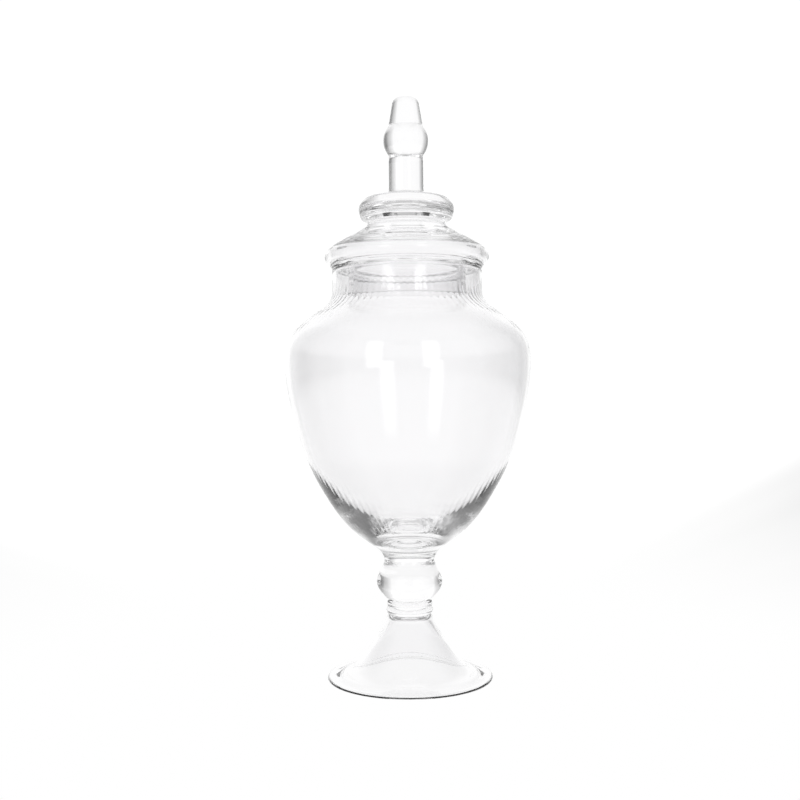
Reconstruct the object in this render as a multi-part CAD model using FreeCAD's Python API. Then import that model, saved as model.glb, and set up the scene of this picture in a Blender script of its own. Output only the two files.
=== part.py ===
import FreeCAD, Part
import math
import os

# Footed glass apothecary jar with a domed lid, standing on z = 0 with its axis on Z.
# Every piece is a body of revolution, so each outline is drawn as (radius, height) in mm.

# ---------------------------------------------------------------- driving dimensions

# Heights of the faces where one piece is joined to the next.
FOOT_TOP = 53.0
BEAD_WAIST = 59.3
BEADS_TOP = 65.0
KNOP_TOP = 97.8
MOUTH = 335.0
LID_SEAT = 335.3          # the lid's own seat lies 0.3 mm clear of the mouth
DOME_TOP = 376.4
RING_TOP = 397.6
FINIAL_TOP = 478.4

# Radii of the round faces shared by neighbouring pieces.
FOOT_TOP_R = 17.6
BEAD_WAIST_R = 17.9
BEADS_TOP_R = 15.2
KNOP_TOP_R = 20.4
DOME_TOP_R = 30.1
RING_TOP_R = 16.2

# Foot: a hollow trumpet whose brim ends in a rounded lip.
FOOT_R = 67.8
BRIM_THICKNESS = 3.0
BRIM_REST_R = 64.0        # inner edge of the ring that touches the table
FOOT_HOLLOW_TOP = 51.5

# Two beads of glass turned round the stem.
LOWER_BEAD_R = 19.1
UPPER_BEAD_R = 18.6

# Knop: the pear-shaped swelling of the stem.
KNOP_R = 26.9
KNOP_WIDEST = 79.6

# Bowl: blown, thin in the wall and thick at the bottom.
NECK_R = 62.0
NECK_WALL = 3.5
NECK_LENGTH = 17.5
LIP_ROUND = 1.2
BOWL_R = 100.9
BOWL_WIDEST = 260.0
BOWL_WALL = 3.0
BOWL_FLOOR = 116.0        # lowest point of the inside

# Lid: dome hollow below and thick above, a plug that drops into the neck, a disc and a finial.
DOME_R = 67.8
DOME_BRIM = 346.6
BRIM_HOLLOW_R = 61.5      # the hollow reaches out this far inside the rolled brim
DOME_SEAT_R = 61.4
DOME_HOLLOW_TOP = 358.0
PLUG_R = 48.5
PLUG_WALL = 4.0
PLUG_LIP = 2.6            # the plug's wall thins to this at its open end
PLUG_BOTTOM = 313.0
RING_R = 39.4
RING_WIDEST = 386.4
STEM_R = 14.3
BULB_R = 18.6
BULB_MIDDLE = 443.0
TIP_R = 11.1

# ---------------------------------------------------------------- drawing helpers

HANDLE = 0.36             # Bezier handle as a share of the chord, close to a true arc


def at(radius, height):
    return FreeCAD.Vector(radius, 0, height)


def line(*points):
    """Straight edges through (radius, height) points."""
    return [Part.LineSegment(at(*a), at(*b)).toShape() for a, b in zip(points, points[1:])]


def arc(start, middle, end):
    """Circular edge through three (radius, height) points."""
    return [Part.Arc(at(*start), at(*middle), at(*end)).toShape()]


def flow(*nodes):
    """Smooth edges through (radius, height, heading) nodes; heading 0 is outwards, 90 is up."""
    edges = []
    for (r_a, z_a, heading_a), (r_b, z_b, heading_b) in zip(nodes, nodes[1:]):
        handle = HANDLE * math.hypot(r_b - r_a, z_b - z_a)
        turn_a = math.radians(heading_a)
        turn_b = math.radians(heading_b)
        bezier = Part.BezierCurve()
        bezier.setPoles([
            at(r_a, z_a),
            at(r_a + handle * math.cos(turn_a), z_a + handle * math.sin(turn_a)),
            at(r_b - handle * math.cos(turn_b), z_b - handle * math.sin(turn_b)),
            at(r_b, z_b)])
        edges.append(bezier.toShape())
    return edges


def turned(*edge_groups):
    """Solid made by turning a closed outline once round the axis."""
    edges = [edge for group in edge_groups for edge in group]
    outline = Part.Face(Part.Wire(edges))
    return outline.revolve(FreeCAD.Vector(0, 0, 0), FreeCAD.Vector(0, 0, 1), 360)


def filled(bottom, top, *outer_edges):
    """Solid piece between two flat round faces at heights bottom and top."""
    start = outer_edges[0][0].firstVertex().Point
    end = outer_edges[-1][-1].lastVertex().Point
    return turned(
        line((0, bottom), (start.x, bottom)),
        *outer_edges,
        line((end.x, top), (0, top), (0, bottom)))


# ---------------------------------------------------------------- jar


def foot():
    lip_r = FOOT_R - BRIM_THICKNESS / 2
    return turned(
        line((0, FOOT_HOLLOW_TOP), (0, FOOT_TOP), (FOOT_TOP_R, FOOT_TOP)),
        flow((FOOT_TOP_R, FOOT_TOP, -60), (31.2, 29.0, -52), (44.0, 12.4, -46), (53.5, 6.0, -23),
             (lip_r, BRIM_THICKNESS, -8)),
        arc((lip_r, BRIM_THICKNESS), (FOOT_R, BRIM_THICKNESS / 2), (lip_r, 0)),
        line((lip_r, 0), (BRIM_REST_R, 0)),
        flow((BRIM_REST_R, 0, 172), (53.0, 4.6, 163), (43.0, 11.0, 138), (28.4, 28.6, 127),
             (16.0, 46.5, 122), (0, FOOT_HOLLOW_TOP, 180)))


def lower_stem_bead():
    middle = (FOOT_TOP + BEAD_WAIST) / 2
    return filled(
        FOOT_TOP, BEAD_WAIST,
        arc((FOOT_TOP_R, FOOT_TOP), (LOWER_BEAD_R, middle), (BEAD_WAIST_R, BEAD_WAIST)))


def upper_stem_bead():
    return filled(
        BEAD_WAIST, BEADS_TOP,
        flow((BEAD_WAIST_R, BEAD_WAIST, 55), (UPPER_BEAD_R, 62.2, 95), (BEADS_TOP_R, BEADS_TOP, 172)))


def stem_knop():
    return filled(
        BEADS_TOP, KNOP_TOP,
        flow((BEADS_TOP_R, BEADS_TOP, 6), (19.7, 66.9, 46), (24.2, 72.0, 54), (KNOP_R, KNOP_WIDEST, 92),
             (23.6, 89.4, 113), (KNOP_TOP_R, KNOP_TOP, 100)))


def bowl():
    """Inside and outside follow each other down to the lower third, where the glass thickens."""
    inside_r = NECK_R - NECK_WALL
    shoulder = MOUTH - NECK_LENGTH
    lip = MOUTH - LIP_ROUND
    cut = LIP_ROUND * (1 - math.sqrt(0.5))   # how far a quarter round cuts the corner
    return turned(
        line((0, BOWL_FLOOR), (0, KNOP_TOP), (KNOP_TOP_R, KNOP_TOP)),
        flow((KNOP_TOP_R, KNOP_TOP, 78), (27.3, 107.8, 36), (49.0, 124.9, 46), (72.5, 157.9, 60),
             (92.9, 210.9, 76), (BOWL_R, BOWL_WIDEST, 90), (97.6, 279.2, 116), (85.2, 293.6, 141),
             (70.2, 304.8, 143), (NECK_R, shoulder, 90)),
        line((NECK_R, shoulder), (NECK_R, lip)),
        arc((NECK_R, lip), (NECK_R - cut, MOUTH - cut), (NECK_R - LIP_ROUND, MOUTH)),
        line((NECK_R - LIP_ROUND, MOUTH), (inside_r + LIP_ROUND, MOUTH)),
        arc((inside_r + LIP_ROUND, MOUTH), (inside_r + cut, MOUTH - cut), (inside_r, lip)),
        line((inside_r, lip), (inside_r, shoulder)),
        flow((inside_r, shoulder, -90), (68.2, 302.3, -37), (83.3, 291.1, -39), (94.8, 278.0, -64),
             (BOWL_R - BOWL_WALL, BOWL_WIDEST, -90), (90.5, 212.0, -104), (70.5, 161.0, -125),
             (51.0, 138.5, -139), (31.0, 123.5, -150), (0, BOWL_FLOOR, 180)))


# ---------------------------------------------------------------- lid


def lid_dome():
    """Dome with a rolled brim, open underneath inside the plug's ring."""
    inside_r = PLUG_R - PLUG_WALL
    return turned(
        line((0, DOME_HOLLOW_TOP), (0, DOME_TOP), (DOME_TOP_R, DOME_TOP)),
        flow((DOME_TOP_R, DOME_TOP, -90), (32.5, 373.7, -67), (35.2, 370.6, -30), (46.0, 364.2, -28),
             (59.0, 356.8, -32), (65.4, 351.8, -47), (DOME_R, DOME_BRIM, -92), (65.0, 341.2, -130),
             (DOME_SEAT_R, LID_SEAT, -90)),
        line((DOME_SEAT_R, LID_SEAT), (inside_r, LID_SEAT)),
        flow((inside_r, LID_SEAT, 90), (50.4, 341.0, 30), (58.5, 344.0, 45), (BRIM_HOLLOW_R, 348.5, 95),
             (54.0, 353.5, 150), (38.0, 357.0, 172), (0, DOME_HOLLOW_TOP, 180)))


def lid_plug():
    inside_r = PLUG_R - PLUG_WALL
    lip_r = PLUG_R - PLUG_LIP
    lip = PLUG_BOTTOM + PLUG_LIP / 2
    return turned(
        line((lip_r, lip), (inside_r, LID_SEAT), (PLUG_R, LID_SEAT), (PLUG_R, lip)),
        arc((PLUG_R, lip), (PLUG_R - PLUG_LIP / 2, PLUG_BOTTOM), (lip_r, lip)))


def lid_ring():
    return filled(
        DOME_TOP, RING_TOP,
        flow((DOME_TOP_R, DOME_TOP, 10), (32.4, 376.2, 29), (38.0, 379.5, 75), (RING_R, RING_WIDEST, 90),
             (37.0, 391.8, 128), (32.8, 395.2, 164)),
        flow((32.8, 395.2, 171), (RING_TOP_R, RING_TOP, 171)))


def finial():
    crease = math.sqrt(BULB_R ** 2 - STEM_R ** 2)
    bulb_bottom = BULB_MIDDLE - crease
    bulb_top = BULB_MIDDLE + crease
    return filled(
        RING_TOP, FINIAL_TOP,
        flow((RING_TOP_R, RING_TOP, 135), (STEM_R, 404.5, 92)),
        line((STEM_R, 404.5), (STEM_R, bulb_bottom)),
        arc((STEM_R, bulb_bottom), (BULB_R, BULB_MIDDLE), (STEM_R, bulb_top)),
        line((STEM_R, bulb_top), (TIP_R, 473.8)),
        flow((TIP_R, 473.8, 98), (6.6, FINIAL_TOP, 180)))


# ---------------------------------------------------------------- the files

PIECES = {
    "foot": foot(),
    "lower_stem_bead": lower_stem_bead(),
    "upper_stem_bead": upper_stem_bead(),
    "stem_knop": stem_knop(),
    "bowl": bowl(),
    "lid_dome": lid_dome(),
    "lid_plug": lid_plug(),
    "lid_ring": lid_ring(),
    "finial": finial(),
}

os.makedirs("parts", exist_ok=True)
for name, shape in PIECES.items():
    if not shape.isValid() or len(shape.Solids) != 1:
        raise ValueError(name + " is not one sound solid")
    shape.exportStep("parts/" + name + ".step")
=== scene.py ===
import math

import bmesh
import bpy
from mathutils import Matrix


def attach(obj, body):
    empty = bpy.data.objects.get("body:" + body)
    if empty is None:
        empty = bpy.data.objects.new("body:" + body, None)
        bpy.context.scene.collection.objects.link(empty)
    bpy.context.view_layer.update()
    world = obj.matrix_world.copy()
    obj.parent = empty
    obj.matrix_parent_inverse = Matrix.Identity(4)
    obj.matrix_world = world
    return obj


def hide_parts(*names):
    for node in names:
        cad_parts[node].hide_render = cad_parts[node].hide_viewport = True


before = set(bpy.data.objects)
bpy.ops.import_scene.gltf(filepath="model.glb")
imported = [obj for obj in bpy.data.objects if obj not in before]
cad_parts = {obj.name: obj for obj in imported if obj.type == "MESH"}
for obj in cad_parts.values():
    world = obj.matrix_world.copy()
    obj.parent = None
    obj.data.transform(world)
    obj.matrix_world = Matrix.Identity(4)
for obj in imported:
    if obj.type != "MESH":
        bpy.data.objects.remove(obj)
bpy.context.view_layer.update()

# ---------------------------------------------------------------- driving dimensions, in mm

# Heights of the faces where one piece is joined to the next.
FOOT_TOP = 53.0
BEAD_WAIST = 59.3
BEADS_TOP = 65.0
KNOP_TOP = 97.8
MOUTH = 335.0
LID_SEAT = 335.3
DOME_TOP = 376.4
RING_TOP = 397.6
FINIAL_TOP = 478.4

# Radii of the round faces shared by neighbouring pieces.
FOOT_TOP_R = 17.6
BEAD_WAIST_R = 17.9
BEADS_TOP_R = 15.2
KNOP_TOP_R = 20.4
DOME_TOP_R = 30.1
RING_TOP_R = 16.2

FOOT_R = 67.8
BRIM_THICKNESS = 3.0
BRIM_REST_R = 64.0
FOOT_HOLLOW_TOP = 51.5

LOWER_BEAD_R = 19.1
UPPER_BEAD_R = 18.6
KNOP_R = 26.9
KNOP_WIDEST = 79.6

NECK_R = 62.0
NECK_WALL = 3.5
NECK_LENGTH = 17.5
LIP_ROUND = 1.2
BOWL_R = 100.9
BOWL_WIDEST = 260.0
BOWL_WALL = 3.0
BOWL_FLOOR = 116.0

DOME_R = 67.8
DOME_BRIM = 346.6
BRIM_HOLLOW_R = 61.5
DOME_SEAT_R = 61.4
DOME_HOLLOW_TOP = 358.0
PLUG_R = 48.5
PLUG_WALL = 4.0
PLUG_LIP = 2.6
PLUG_BOTTOM = 313.0
RING_R = 39.4
RING_WIDEST = 386.4
STEM_R = 14.3
BULB_R = 18.6
BULB_MIDDLE = 443.0
TIP_R = 11.1

# Optic ribs: the mould's flutes, softened by blowing.
RIBS = 72
POINTS_PER_RIB = 6
RIB_SWELL = 0.022         # half the depth of the flutes inside the bowl's lower wall
RIB_NECK_GAIN = 6.0       # how much deeper they are in the neck, where the glass was blown out least
RIB_MIDDLE_SHARE = 0.15   # what is left of them where the bowl was blown out widest
RIB_FREE_LIP = 6.0        # the ribs stop this far under the mouth
RIB_LIP_FADE = 20.0       # and reach their full depth this much further down
RIB_FLOOR_FADE = 14.0     # they fade in over this height above the bowl's floor
RIB_NECK_RISE = (292, 312)     # they deepen between these heights
RIB_BELLY_START = (150, 190)   # they thin out between these heights
RIB_BELLY_END = (265, 290)     # and come back between these
RIB_FULL_R = 40.0         # inside this radius they die away towards the axis

# Distance between the points along an outline, by how tightly it bends.
FINE = 0.4
CLOSE = 0.8
MEDIUM = 1.5
WIDE = 3.0

# Number of points round the axis.
SIDES = 192
STEM_SIDES = 144          # for the narrow pieces

MM = 0.001
JOINT_GAP = 0.02          # two fused faces stand this far inside their pieces, so they never coincide
CREASE = math.radians(40)
HANDLE = 0.36             # Bezier handle as a share of the chord, as in the CAD outlines

# ---------------------------------------------------------------- outlines, as (radius, height)


def flow(step, *nodes):
    """Smooth run of points through (radius, height, heading) nodes; heading 0 is outwards, 90 is up."""
    points = []
    for (r_a, z_a, heading_a), (r_b, z_b, heading_b) in zip(nodes, nodes[1:]):
        chord = math.hypot(r_b - r_a, z_b - z_a)
        handle = HANDLE * chord
        turn_a = math.radians(heading_a)
        turn_b = math.radians(heading_b)
        poles = ((r_a, z_a),
                 (r_a + handle * math.cos(turn_a), z_a + handle * math.sin(turn_a)),
                 (r_b - handle * math.cos(turn_b), z_b - handle * math.sin(turn_b)),
                 (r_b, z_b))
        count = max(2, math.ceil(chord / step))
        for i in range(count):
            t = i / count
            weights = ((1 - t) ** 3, 3 * t * (1 - t) ** 2, 3 * t * t * (1 - t), t ** 3)
            points.append(tuple(sum(w * p[axis] for w, p in zip(weights, poles)) for axis in (0, 1)))
    points.append(nodes[-1][:2])
    return points


def arc(step, start, middle, end):
    """Points on the circle through three points, from start to end by way of middle."""
    (x1, y1), (x2, y2), (x3, y3) = start, middle, end
    d = 2 * (x1 * (y2 - y3) + x2 * (y3 - y1) + x3 * (y1 - y2))
    s1, s2, s3 = x1 * x1 + y1 * y1, x2 * x2 + y2 * y2, x3 * x3 + y3 * y3
    cx = (s1 * (y2 - y3) + s2 * (y3 - y1) + s3 * (y1 - y2)) / d
    cy = (s1 * (x3 - x2) + s2 * (x1 - x3) + s3 * (x2 - x1)) / d
    radius = math.hypot(x1 - cx, y1 - cy)
    angles = [math.atan2(y - cy, x - cx) for x, y in (start, middle, end)]
    full = 2 * math.pi
    to_middle = (angles[1] - angles[0]) % full
    to_end = (angles[2] - angles[0]) % full
    sweep = to_end if to_middle < to_end else to_end - full
    count = max(3, math.ceil(abs(sweep) * radius / step))
    return [(cx + radius * math.cos(angles[0] + sweep * i / count),
             cy + radius * math.sin(angles[0] + sweep * i / count)) for i in range(count + 1)]


def straight(step, start, end):
    """Evenly spaced points from start to end, which keep the shading of a straight side straight."""
    count = max(1, math.ceil(math.dist(start, end) / step))
    return [(start[0] + (end[0] - start[0]) * i / count, start[1] + (end[1] - start[1]) * i / count)
            for i in range(count + 1)]


def joined(*runs):
    """One run of points, with the shared ends kept once."""
    points = []
    for run in runs:
        for point in run:
            if not points or math.dist(points[-1], point) > 1e-6:
                points.append(point)
    return points


# ---------------------------------------------------------------- turning an outline into a piece


def turned(name, outline, segments, materials, joints=(), closed=False, ripple=None):
    """Closed mesh turned once round the axis; joints are (height, outer radius) of its fused faces."""
    verts = []
    rings = []
    for index, (radius, height) in enumerate(outline):
        if radius < 1e-9:
            rings.append([len(verts)])
            verts.append((0, 0, height * MM))
            continue
        ring = []
        for k in range(segments):
            angle = 2 * math.pi * k / segments
            r = radius + (ripple(index, radius, height, angle) if ripple else 0)
            ring.append(len(verts))
            verts.append((r * math.cos(angle) * MM, r * math.sin(angle) * MM, height * MM))
        rings.append(ring)

    pairs = list(zip(range(len(outline) - 1), range(1, len(outline))))
    if closed:
        pairs.append((len(outline) - 1, 0))
    faces = []
    slots = []
    for a, b in pairs:
        fused = is_joint(outline[a], outline[b], joints)
        for k in range(segments):
            faces.append(band_face(rings[a], rings[b], k, (k + 1) % segments))
            slots.append(1 if fused else 0)

    mesh = bpy.data.meshes.new(name)
    mesh.from_pydata(verts, [], faces)
    mesh.polygons.foreach_set("material_index", slots)
    mesh.polygons.foreach_set("use_smooth", [True] * len(faces))
    for material in materials:
        mesh.materials.append(material)
    finish_mesh(mesh)
    piece = bpy.data.objects.new(name, mesh)
    bpy.context.collection.objects.link(piece)
    return piece


def is_joint(a, b, joints):
    """True if the run from a to b lies in one of the fused faces."""
    return any(abs(a[1] - height) < 1e-6 and abs(b[1] - height) < 1e-6 and max(a[0], b[0]) <= radius + 1e-6
               for height, radius in joints)


def band_face(ring_a, ring_b, k, k_next):
    """Face number k of the band between two rings; a ring of one point is a pole on the axis."""
    if len(ring_a) == 1:
        return ring_a[0], ring_b[k_next], ring_b[k]
    if len(ring_b) == 1:
        return ring_a[k], ring_a[k_next], ring_b[0]
    return ring_a[k], ring_a[k_next], ring_b[k_next], ring_b[k]


def finish_mesh(mesh):
    """Turns the normals outwards, draws the fused faces in by the joint gap, and marks the creases."""
    bm = bmesh.new()
    bm.from_mesh(mesh)
    bmesh.ops.recalc_face_normals(bm, faces=bm.faces)
    moves = {}
    for face in bm.faces:
        if face.material_index == 1:
            for vert in face.verts:
                moves[vert] = -math.copysign(JOINT_GAP * MM, face.normal.z)
    for vert, shift in moves.items():
        vert.co.z += shift
    for edge in bm.edges:
        a, b = edge.link_faces
        if a.material_index != b.material_index or edge.calc_face_angle() > CREASE:
            edge.smooth = False
    bm.to_mesh(mesh)
    bm.free()


# ---------------------------------------------------------------- materials


class Nodes:
    """Short calls for adding nodes to one tree."""

    def __init__(self, tree):
        self.tree = tree

    def add(self, kind, **settings):
        node = self.tree.nodes.new(kind)
        for key, value in settings.items():
            setattr(node, key, value)
        return node

    def feed(self, socket, value):
        if isinstance(value, bpy.types.NodeSocket):
            self.tree.links.new(value, socket)
        else:
            socket.default_value = value

    def math(self, operation, *values):
        node = self.add("ShaderNodeMath", operation=operation)
        for socket, value in zip(node.inputs, values):
            self.feed(socket, value)
        return node.outputs[0]

    def smooth_step(self, value, start, end, low=0.0, high=1.0):
        node = self.add("ShaderNodeMapRange", interpolation_type="SMOOTHSTEP")
        for socket, given in zip(node.inputs, (value, start, end, low, high)):
            self.feed(socket, given)
        return node.outputs[0]

    def blend(self, share, a, b):
        """a where share is 0, b where it is 1."""
        return self.math("ADD", self.math("MULTIPLY", a, self.math("SUBTRACT", 1.0, share)),
                         self.math("MULTIPLY", b, share))


NEAR_WHITE = (0.978, 0.976, 0.980)   # the tint drifts between these two
FAR_WHITE = (0.968, 0.966, 0.972)
GLASS_IOR = 1.5
TINT_SCALE = 9.0          # how fast the tint drifts through the glass


def glass(name, waviness, wave_size, stretch):
    """Clear glass whose tint drifts a little, with the slow swell of a fire-polished surface.

    waviness is the swell's height and wave_size its length, in metres.
    A stretch under 1 draws it out upwards.
    """
    material = bpy.data.materials.new(name)
    material.use_nodes = True
    n = Nodes(material.node_tree)
    shader = material.node_tree.nodes["Principled BSDF"]
    shader.inputs["Roughness"].default_value = 0.0
    shader.inputs["IOR"].default_value = GLASS_IOR
    shader.inputs["Transmission Weight"].default_value = 1.0

    place = n.add("ShaderNodeTexCoord").outputs["Object"]
    drift = n.add("ShaderNodeTexNoise")
    n.feed(drift.inputs["Vector"], place)
    n.feed(drift.inputs["Scale"], TINT_SCALE)
    n.feed(drift.inputs["Detail"], 1.0)
    colour = n.add("ShaderNodeMix", data_type="RGBA")
    n.feed(colour.inputs["Factor"], drift.outputs["Fac"])
    n.feed(colour.inputs["A"], (*NEAR_WHITE, 1.0))
    n.feed(colour.inputs["B"], (*FAR_WHITE, 1.0))
    n.feed(shader.inputs["Base Color"], colour.outputs["Result"])

    scaled = n.add("ShaderNodeMapping")
    n.feed(scaled.inputs["Vector"], place)
    n.feed(scaled.inputs["Scale"], (1.0, 1.0, stretch))
    swell = n.add("ShaderNodeTexNoise")
    n.feed(swell.inputs["Vector"], scaled.outputs["Vector"])
    n.feed(swell.inputs["Scale"], 1.0 / wave_size)
    n.feed(swell.inputs["Detail"], 0.0)
    bump = n.add("ShaderNodeBump")
    n.feed(bump.inputs["Strength"], 1.0)
    n.feed(bump.inputs["Distance"], waviness)
    n.feed(bump.inputs["Height"], swell.outputs["Fac"])
    n.feed(shader.inputs["Normal"], bump.outputs["Normal"])
    return material


def joint_glass():
    """The faces where two pieces are fused: nothing bends there, as inside one body of glass."""
    material = bpy.data.materials.new("fused_joint")
    material.use_nodes = True
    shader = material.node_tree.nodes["Principled BSDF"]
    shader.inputs["Base Color"].default_value = (1.0, 1.0, 1.0, 1.0)
    shader.inputs["Roughness"].default_value = 0.0
    shader.inputs["IOR"].default_value = 1.0
    shader.inputs["Transmission Weight"].default_value = 1.0
    return material


CLEAR = glass("clear_glass", waviness=0.00002, wave_size=0.012, stretch=0.5)
RIBBED = glass("ribbed_glass", waviness=0.00003, wave_size=0.03, stretch=0.4)
LID = glass("lid_glass", waviness=0.00002, wave_size=0.014, stretch=0.5)
FUSED = joint_glass()

# ---------------------------------------------------------------- jar



def foot():
    lip_r = FOOT_R - BRIM_THICKNESS / 2
    outline = joined(
        [(0, FOOT_TOP)],
        flow(MEDIUM, (FOOT_TOP_R, FOOT_TOP, -60), (31.2, 29.0, -52), (44.0, 12.4, -46), (53.5, 6.0, -23),
             (lip_r, BRIM_THICKNESS, -8)),
        arc(FINE, (lip_r, BRIM_THICKNESS), (FOOT_R, BRIM_THICKNESS / 2), (lip_r, 0)),
        flow(MEDIUM, (BRIM_REST_R, 0, 172), (53.0, 4.6, 163), (43.0, 11.0, 138), (28.4, 28.6, 127),
             (16.0, 46.5, 122), (0, FOOT_HOLLOW_TOP, 180)))
    return turned("foot_glass", outline, SIDES, (CLEAR, FUSED), joints=[(FOOT_TOP, FOOT_TOP_R)])


def lower_stem_bead():
    middle = (FOOT_TOP + BEAD_WAIST) / 2
    outline = joined(
        [(0, FOOT_TOP)],
        arc(FINE, (FOOT_TOP_R, FOOT_TOP), (LOWER_BEAD_R, middle), (BEAD_WAIST_R, BEAD_WAIST)),
        [(0, BEAD_WAIST)])
    return turned("lower_stem_bead_glass", outline, STEM_SIDES, (CLEAR, FUSED),
                  joints=[(FOOT_TOP, FOOT_TOP_R), (BEAD_WAIST, BEAD_WAIST_R)])


def upper_stem_bead():
    outline = joined(
        [(0, BEAD_WAIST)],
        flow(FINE, (BEAD_WAIST_R, BEAD_WAIST, 55), (UPPER_BEAD_R, 62.2, 95), (BEADS_TOP_R, BEADS_TOP, 172)),
        [(0, BEADS_TOP)])
    return turned("upper_stem_bead_glass", outline, STEM_SIDES, (CLEAR, FUSED),
                  joints=[(BEAD_WAIST, BEAD_WAIST_R), (BEADS_TOP, BEADS_TOP_R)])


def stem_knop():
    outline = joined(
        [(0, BEADS_TOP)],
        flow(CLOSE, (BEADS_TOP_R, BEADS_TOP, 6), (19.7, 66.9, 46), (24.2, 72.0, 54),
             (KNOP_R, KNOP_WIDEST, 92), (23.6, 89.4, 113), (KNOP_TOP_R, KNOP_TOP, 100)),
        [(0, KNOP_TOP)])
    return turned("stem_knop_glass", outline, STEM_SIDES, (CLEAR, FUSED),
                  joints=[(BEADS_TOP, BEADS_TOP_R), (KNOP_TOP, KNOP_TOP_R)])


def smooth(share):
    """0 to 1 with level ends, for a share that may lie outside them."""
    t = min(1.0, max(0.0, share))
    return t * t * (3 - 2 * t)


def rise(value, start, end):
    """0 up to start, 1 from end on, smooth between them."""
    return smooth((value - start) / (end - start))


def rib_strength(height):
    """How strongly the ribs stand at a height: fading to the lip and the base, faint on the blown belly."""
    ends = (smooth((MOUTH - RIB_FREE_LIP - height) / RIB_LIP_FADE)
            * smooth((height - BOWL_FLOOR) / RIB_FLOOR_FADE))
    belly = rise(height, *RIB_BELLY_START) * (1 - rise(height, *RIB_BELLY_END))
    neck = 1 + (RIB_NECK_GAIN - 1) * rise(height, *RIB_NECK_RISE)
    return ends * neck * (1 - (1 - RIB_MIDDLE_SHARE) * belly)


def bowl():
    inside_r = NECK_R - NECK_WALL
    shoulder = MOUTH - NECK_LENGTH
    lip = MOUTH - LIP_ROUND
    cut = LIP_ROUND * (1 - math.sqrt(0.5))
    outside = joined(
        [(0, KNOP_TOP)],
        flow(WIDE, (KNOP_TOP_R, KNOP_TOP, 78), (27.3, 107.8, 36), (49.0, 124.9, 46), (72.5, 157.9, 60),
             (92.9, 210.9, 76), (BOWL_R, BOWL_WIDEST, 90), (97.6, 279.2, 116), (85.2, 293.6, 141),
             (70.2, 304.8, 143), (NECK_R, shoulder, 90)),
        straight(WIDE, (NECK_R, shoulder), (NECK_R, lip)))
    lips = joined(
        arc(FINE, (NECK_R, lip), (NECK_R - cut, MOUTH - cut), (NECK_R - LIP_ROUND, MOUTH)),
        arc(FINE, (inside_r + LIP_ROUND, MOUTH), (inside_r + cut, MOUTH - cut), (inside_r, lip)),
        straight(WIDE, (inside_r, lip), (inside_r, shoulder)))
    inside = flow(
        WIDE, (inside_r, shoulder, -90), (68.2, 302.3, -37), (83.3, 291.1, -39), (94.8, 278.0, -64),
        (BOWL_R - BOWL_WALL, BOWL_WIDEST, -90), (90.5, 212.0, -104), (70.5, 161.0, -125),
        (51.0, 138.5, -139), (31.0, 123.5, -150), (0, BOWL_FLOOR, 180))

    def ripple(index, radius, height, angle):
        if index < len(outside):
            return 0.0
        return RIB_SWELL * rib_strength(height) * math.cos(RIBS * angle) * min(1.0, radius / RIB_FULL_R)

    return turned("bowl_glass", joined(outside, lips, inside), RIBS * POINTS_PER_RIB, (RIBBED, FUSED),
                  joints=[(KNOP_TOP, KNOP_TOP_R)], ripple=ripple)


# ---------------------------------------------------------------- lid


def lid_dome():
    inside_r = PLUG_R - PLUG_WALL
    outline = joined(
        [(0, DOME_TOP)],
        flow(CLOSE, (DOME_TOP_R, DOME_TOP, -90), (32.5, 373.7, -67), (35.2, 370.6, -30), (46.0, 364.2, -28),
             (59.0, 356.8, -32), (65.4, 351.8, -47), (DOME_R, DOME_BRIM, -92), (65.0, 341.2, -130),
             (DOME_SEAT_R, LID_SEAT, -90)),
        [(PLUG_R, LID_SEAT)],
        flow(CLOSE, (inside_r, LID_SEAT, 90), (50.4, 341.0, 30), (58.5, 344.0, 45),
             (BRIM_HOLLOW_R, 348.5, 95), (54.0, 353.5, 150), (38.0, 357.0, 172), (0, DOME_HOLLOW_TOP, 180)))
    return turned("lid_dome_glass", outline, SIDES, (LID, FUSED),
                  joints=[(DOME_TOP, DOME_TOP_R), (LID_SEAT, PLUG_R)])


def lid_plug():
    inside_r = PLUG_R - PLUG_WALL
    lip_r = PLUG_R - PLUG_LIP
    lip = PLUG_BOTTOM + PLUG_LIP / 2
    outline = joined(
        [(inside_r, LID_SEAT), (PLUG_R, LID_SEAT)],
        straight(MEDIUM, (PLUG_R, LID_SEAT), (PLUG_R, lip)),
        arc(FINE, (PLUG_R, lip), (PLUG_R - PLUG_LIP / 2, PLUG_BOTTOM), (lip_r, lip)),
        straight(MEDIUM, (lip_r, lip), (inside_r, LID_SEAT))[:-1])
    return turned("lid_plug_glass", outline, SIDES, (LID, FUSED), joints=[(LID_SEAT, PLUG_R)], closed=True)


def lid_ring():
    outline = joined(
        [(0, DOME_TOP)],
        flow(CLOSE, (DOME_TOP_R, DOME_TOP, 10), (32.4, 376.2, 29), (38.0, 379.5, 75),
             (RING_R, RING_WIDEST, 90), (37.0, 391.8, 128), (32.8, 395.2, 164)),
        flow(MEDIUM, (32.8, 395.2, 171), (RING_TOP_R, RING_TOP, 171)),
        [(0, RING_TOP)])
    return turned("lid_ring_glass", outline, STEM_SIDES, (LID, FUSED),
                  joints=[(DOME_TOP, DOME_TOP_R), (RING_TOP, RING_TOP_R)])


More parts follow.
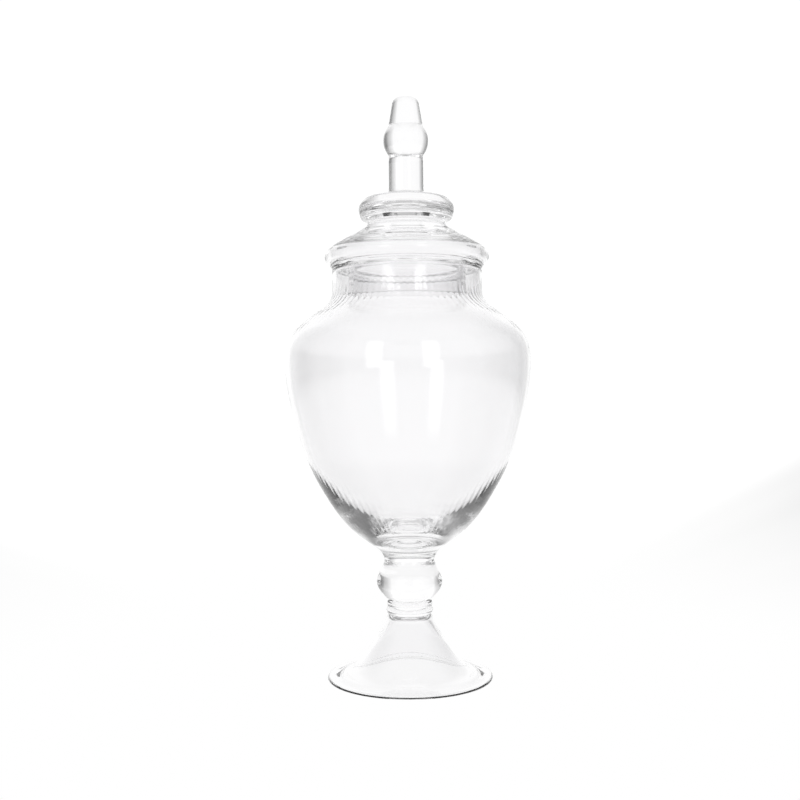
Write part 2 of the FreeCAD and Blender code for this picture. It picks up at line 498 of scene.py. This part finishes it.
def finial():
    crease = math.sqrt(BULB_R ** 2 - STEM_R ** 2)
    bulb_bottom = BULB_MIDDLE - crease
    bulb_top = BULB_MIDDLE + crease
    outline = joined(
        [(0, RING_TOP)],
        flow(CLOSE, (RING_TOP_R, RING_TOP, 135), (STEM_R, 404.5, 92)),
        straight(MEDIUM, (STEM_R, 404.5), (STEM_R, bulb_bottom)),
        arc(CLOSE, (STEM_R, bulb_bottom), (BULB_R, BULB_MIDDLE), (STEM_R, bulb_top)),
        straight(MEDIUM, (STEM_R, bulb_top), (TIP_R, 473.8)),
        flow(FINE, (TIP_R, 473.8, 98), (6.6, FINIAL_TOP, 180)),
        [(0, FINIAL_TOP)])
    return turned("finial_glass", outline, STEM_SIDES, (LID, FUSED), joints=[(RING_TOP, RING_TOP_R)])


# ---------------------------------------------------------------- putting the pieces on their bodies

PIECES = {
    "jar": (("clear_glass", (foot, lower_stem_bead, upper_stem_bead, stem_knop)), ("ribbed_glass", (bowl,))),
    "lid": (("lid_glass", (lid_dome, lid_plug, lid_ring, finial)),),
}

for body, groups in PIECES.items():
    for slot, makers in groups:
        for make in makers:
            piece = make()
            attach(piece, body)
            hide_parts(make.__name__)

# ---------------------------------------------------------------- studio

# Brightness of the studio by direction round the jar, in degrees from straight behind it.
BACKDROP = ((0, 1.05), (30, 1.05), (34, 0.9), (39, 0.74), (46, 0.6), (54, 0.32), (62, 0.14), (70, 0.11),
            (92, 0.11), (106, 0.22), (122, 0.5), (180, 0.58))
BACKDROP_TURN = 6.0       # degrees by which the backdrop's middle stands left of straight behind
CEILING = 0.5
CEILING_RISE = (34, 60)   # the backdrop gives way to the ceiling's brightness between these elevations
RAMP_TOP = 2.0            # the brightness that full white on the ramp stands for
# Softboxes: azimuth, half width, soft edge, elevation, half height, soft edge, brightness.
SOFTBOXES = ((-149, 7, 6, 8, 20, 10, 1.6), (159, 7, 6, 8, 20, 10, 1.6))
CAMERA_PLACE = (-0.0066, -0.876, 0.229)   # in metres, like the floor's measures
CAMERA_ROLL = 0.5         # degrees
LENS = 47.7               # mm, as is the sensor's width
SENSOR = 36.0
FLOOR_R = 4.0
FLOOR_SIDES = 96
FLOOR_DROP = 0.0002       # the floor lies this far under the foot, so the two faces don't coincide
FLOOR_BRIGHT = 1.0
FLOOR_FADE = (0.3, 3.0)   # the floor's own brightness gives way to the backdrop's between these radii


def backdrop_brightness(n, direction):
    """The studio's brightness in a horizontal direction, and the parts of the direction."""
    parts = n.add("ShaderNodeSeparateXYZ")
    n.feed(parts.inputs[0], direction)
    azimuth = n.math("ARCTAN2", parts.outputs[0], parts.outputs[1])
    turned_azimuth = n.math("ADD", azimuth, math.radians(BACKDROP_TURN))
    ramp = n.add("ShaderNodeValToRGB")
    ramp.color_ramp.interpolation = "EASE"
    stops = ramp.color_ramp.elements
    while len(stops) > 1:
        stops.remove(stops[0])
    stops[0].position = 0.0
    stops[0].color = (*[BACKDROP[0][1] / RAMP_TOP] * 3, 1.0)
    for degrees, brightness in BACKDROP[1:]:
        stops.new(degrees / 180).color = (*[brightness / RAMP_TOP] * 3, 1.0)
    n.feed(ramp.inputs[0], n.math("DIVIDE", n.math("ABSOLUTE", turned_azimuth), math.pi))
    return n.math("MULTIPLY", ramp.outputs[0], RAMP_TOP), azimuth, parts


def level_length(n, parts):
    """Length of a direction's or a place's horizontal part."""
    return n.math("SQRT", n.math("ADD", n.math("POWER", parts.outputs[0], 2.0),
                                 n.math("POWER", parts.outputs[1], 2.0)))


def window(n, angle, centre, half, soft):
    """1 within half of centre, falling softly to 0."""
    away = n.math("ABSOLUTE", n.math("SUBTRACT", angle, math.radians(centre)))
    return n.smooth_step(away, math.radians(half - soft / 2), math.radians(half + soft / 2), 1.0, 0.0)


def studio_walls():
    world = bpy.data.worlds.new("studio")
    world.use_nodes = True
    bpy.context.scene.world = world
    n = Nodes(world.node_tree)
    direction = n.add("ShaderNodeTexCoord").outputs["Generated"]
    light, azimuth, parts = backdrop_brightness(n, direction)
    elevation = n.math("ARCTAN2", parts.outputs[2], level_length(n, parts))
    low, high = (math.radians(angle) for angle in CEILING_RISE)
    light = n.blend(n.smooth_step(elevation, low, high), light, CEILING)
    for az, az_half, az_soft, el, el_half, el_soft, brightness in SOFTBOXES:
        share = n.math("MULTIPLY", window(n, azimuth, az, az_half, az_soft),
                       window(n, elevation, el, el_half, el_soft))
        light = n.math("ADD", light, n.math("MULTIPLY", share, brightness))
    n.feed(world.node_tree.nodes["Background"].inputs["Color"], light)


def floor():
    angles = [2 * math.pi * k / FLOOR_SIDES for k in range(FLOOR_SIDES)]
    rim = [(FLOOR_R * math.cos(angle), FLOOR_R * math.sin(angle), 0) for angle in angles]
    mesh = bpy.data.meshes.new("floor")
    mesh.from_pydata(rim, [], [tuple(range(FLOOR_SIDES))])
    material = bpy.data.materials.new("floor")
    material.use_nodes = True
    n = Nodes(material.node_tree)
    place = n.add("ShaderNodeTexCoord").outputs["Object"]
    far_light, _, parts = backdrop_brightness(n, place)
    radius = level_length(n, parts)
    light = n.blend(n.smooth_step(radius, *FLOOR_FADE), FLOOR_BRIGHT, far_light)
    shader = n.add("ShaderNodeEmission")
    n.feed(shader.inputs["Color"], light)
    out = material.node_tree.nodes["Material Output"]
    n.feed(out.inputs["Surface"], shader.outputs[0])
    mesh.materials.append(material)
    disc = bpy.data.objects.new("floor", mesh)
    disc.location.z = -FLOOR_DROP
    bpy.context.collection.objects.link(disc)


def camera():
    data = bpy.data.cameras.new("camera")
    data.sensor_width = SENSOR
    data.lens = LENS
    data.clip_start = 0.01
    seen_by = bpy.data.objects.new("camera", data)
    seen_by.location = CAMERA_PLACE
    seen_by.rotation_euler = (math.radians(90), math.radians(CAMERA_ROLL), 0)
    bpy.context.collection.objects.link(seen_by)
    bpy.context.scene.camera = seen_by


def light_paths():
    """Glass within glass needs more bounces than usual; plain colours keep the pale tones pale."""
    scene = bpy.context.scene
    scene.view_settings.view_transform = "Standard"
    scene.cycles.max_bounces = 24
    scene.cycles.transmission_bounces = 24
    scene.cycles.glossy_bounces = 12
    scene.cycles.use_denoising = True


studio_walls()
floor()
camera()
light_paths()
